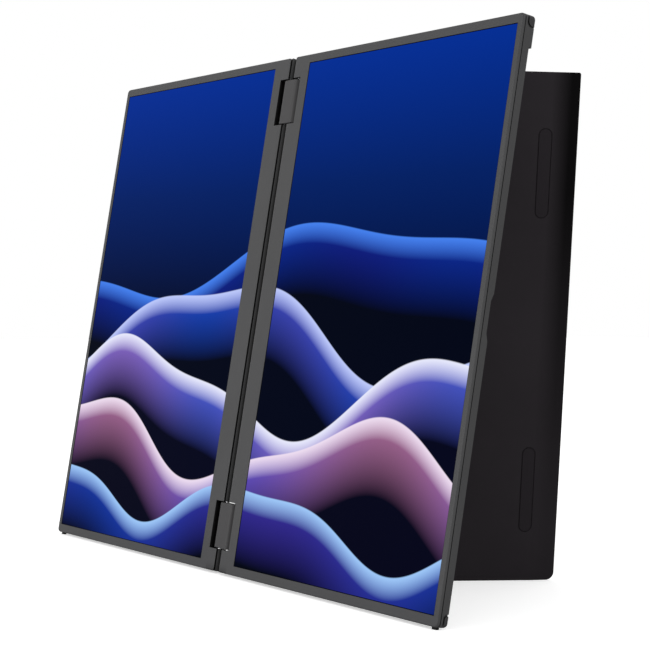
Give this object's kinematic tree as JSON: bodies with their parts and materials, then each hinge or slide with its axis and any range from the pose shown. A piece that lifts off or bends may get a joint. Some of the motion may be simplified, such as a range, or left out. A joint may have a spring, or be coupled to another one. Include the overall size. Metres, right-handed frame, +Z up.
{
  "type": "dual-screen portable monitor",
  "caption": "Dual-screen portable monitor: flat displays side by side on geared fold hinges, leaning on a slanted flap stand that swings out of one panel's back",
  "frame": {"origin": "on the floor, under the middle of the open monitor's bounding box", "axes": "+X to the viewer's right along the panels, +Z up, screens face -Y"},
  "size_m": [0.4501, 0.169, 0.3293],
  "materials": {
    "bezel_plastic": "fine matt warm dark grey",
    "casing_metal": "dark grey bead-blasted and anodised",
    "stand_metal": "near-black matt coating",
    "display_glass": "clear glossy cover glass",
    "display_cell": "display layers and backing",
    "rubber": "matt black",
    "corner_rubber": "matt dark grey",
    "hinge_metal": "matt dark grey paint",
    "steel": "bare machined steel",
    "bearing_brass": "bare",
    "board_laminate": "green solder mask",
    "ribbon_film": "amber film",
    "cable_jacket": "matt black",
    "socket_metal": "bright plated",
    "switch_plastic": "matt",
    "button_plastic": "matt dark grey"
  },
  "bodies": {
    "right_panel": {"right_bezel": "bezel_plastic", "right_display_glass": "display_glass", "right_display_cell": "display_cell", "right_back_casing": "casing_metal", "right_corner_caps": "corner_rubber", "right_foot": "rubber", "right_display_ribbon": "ribbon_film", "right_bracket_screws": "steel", "right_board_screws": "steel", "right_link_cable": "cable_jacket", "right_lower_hinge_bracket": "steel", "right_lower_pinion_shaft": "steel", "right_lower_pivot_bush": "steel", "right_upper_hinge_bracket": "steel", "right_upper_pinion_shaft": "steel", "right_upper_pivot_bush": "steel", "right_driver_board": "board_laminate", "tripod_nut": "bearing_brass", "stand_hinge_lugs": "steel"},
    "hinge_blocks": {"hinge_link_cable": "cable_jacket", "lower_hinge_housing": "hinge_metal", "lower_hinge_cap": "hinge_metal", "lower_bearing_plate": "bearing_brass", "lower_idler_pins": "steel", "upper_hinge_housing": "hinge_metal", "upper_hinge_cap": "hinge_metal", "upper_bearing_plate": "bearing_brass", "upper_idler_pins": "steel"},
    "left_panel": {"left_bezel": "bezel_plastic", "left_display_glass": "display_glass", "left_display_cell": "display_cell", "left_back_casing": "casing_metal", "left_corner_caps": "corner_rubber", "left_foot": "rubber", "left_display_ribbon": "ribbon_film", "left_bracket_screws": "steel", "left_board_screws": "steel", "left_link_cable": "cable_jacket", "left_lower_hinge_bracket": "steel", "left_lower_pinion_shaft": "steel", "left_lower_pivot_bush": "steel", "left_upper_hinge_bracket": "steel", "left_upper_pinion_shaft": "steel", "left_upper_pivot_bush": "steel", "left_main_board": "board_laminate", "lower_usb_c_socket": "socket_metal", "upper_usb_c_socket": "socket_metal", "mini_hdmi_socket": "socket_metal", "button_switches": "switch_plastic"},
    "lower_right_idler": {"lower_right_idler_gear": "steel"},
    "lower_left_idler": {"lower_left_idler_gear": "steel"},
    "upper_right_idler": {"upper_right_idler_gear": "steel"},
    "upper_left_idler": {"upper_left_idler_gear": "steel"},
    "power_button": {"power_button": "button_plastic"},
    "menu_button": {"menu_button": "button_plastic"},
    "stand": {"stand_plate": "stand_metal", "stand_pads": "rubber", "stand_hinge_pins": "steel"}
  },
  "joints": [
    {"name": "right_fold", "type": "hinge", "parent": "hinge_blocks", "child": "right_panel", "pos_m": [0.00487, -0.08054, 0.00102], "axis": [0, -0.1662, -0.9861], "range_deg": [-45, 90]},
    {"name": "left_fold", "type": "hinge", "parent": "hinge_blocks", "child": "left_panel", "pos_m": [-0.00487, -0.08054, 0.00102], "axis": [0, 0.1662, 0.9861], "range_deg": [-45, 90]},
    {"name": "lower_right_idler_spin", "type": "hinge", "parent": "hinge_blocks", "child": "lower_right_idler", "pos_m": [0.00162, -0.08054, 0.00102], "axis": [0, 0.1662, 0.9861], "range_deg": [-45, 90]},
    {"name": "lower_left_idler_spin", "type": "hinge", "parent": "hinge_blocks", "child": "lower_left_idler", "pos_m": [-0.00162, -0.08054, 0.00102], "axis": [0, 0.1662, 0.9861], "range_deg": [-90, 45]},
    {"name": "upper_right_idler_spin", "type": "hinge", "parent": "hinge_blocks", "child": "upper_right_idler", "pos_m": [0.00162, -0.08054, 0.00102], "axis": [0, 0.1662, 0.9861], "range_deg": [-45, 90]},
    {"name": "upper_left_idler_spin", "type": "hinge", "parent": "hinge_blocks", "child": "upper_left_idler", "pos_m": [-0.00162, -0.08054, 0.00102], "axis": [0, 0.1662, 0.9861], "range_deg": [-90, 45]},
    {"name": "stand_swing", "type": "hinge", "parent": "right_panel", "child": "stand", "pos_m": [0.0424, -0.07721, 0.00046], "axis": [0.2645, 0.1603, 0.951], "range_deg": [-65, 25]},
    {"name": "power_button_press", "type": "slide", "parent": "left_panel", "child": "power_button", "axis": [1, 0, 0], "range_m": [0, 0.0005], "stiffness_N_per_m": 2000},
    {"name": "menu_button_press", "type": "slide", "parent": "left_panel", "child": "menu_button", "axis": [1, 0, 0], "range_m": [0, 0.0005], "stiffness_N_per_m": 2000}
  ],
  "couplings": [
    {"joint": "left_fold", "follows": "right_fold", "ratio": 1},
    {"joint": "lower_right_idler_spin", "follows": "right_fold", "ratio": 1},
    {"joint": "lower_left_idler_spin", "follows": "right_fold", "ratio": -1},
    {"joint": "upper_right_idler_spin", "follows": "right_fold", "ratio": 1},
    {"joint": "upper_left_idler_spin", "follows": "right_fold", "ratio": -1}
  ]
}
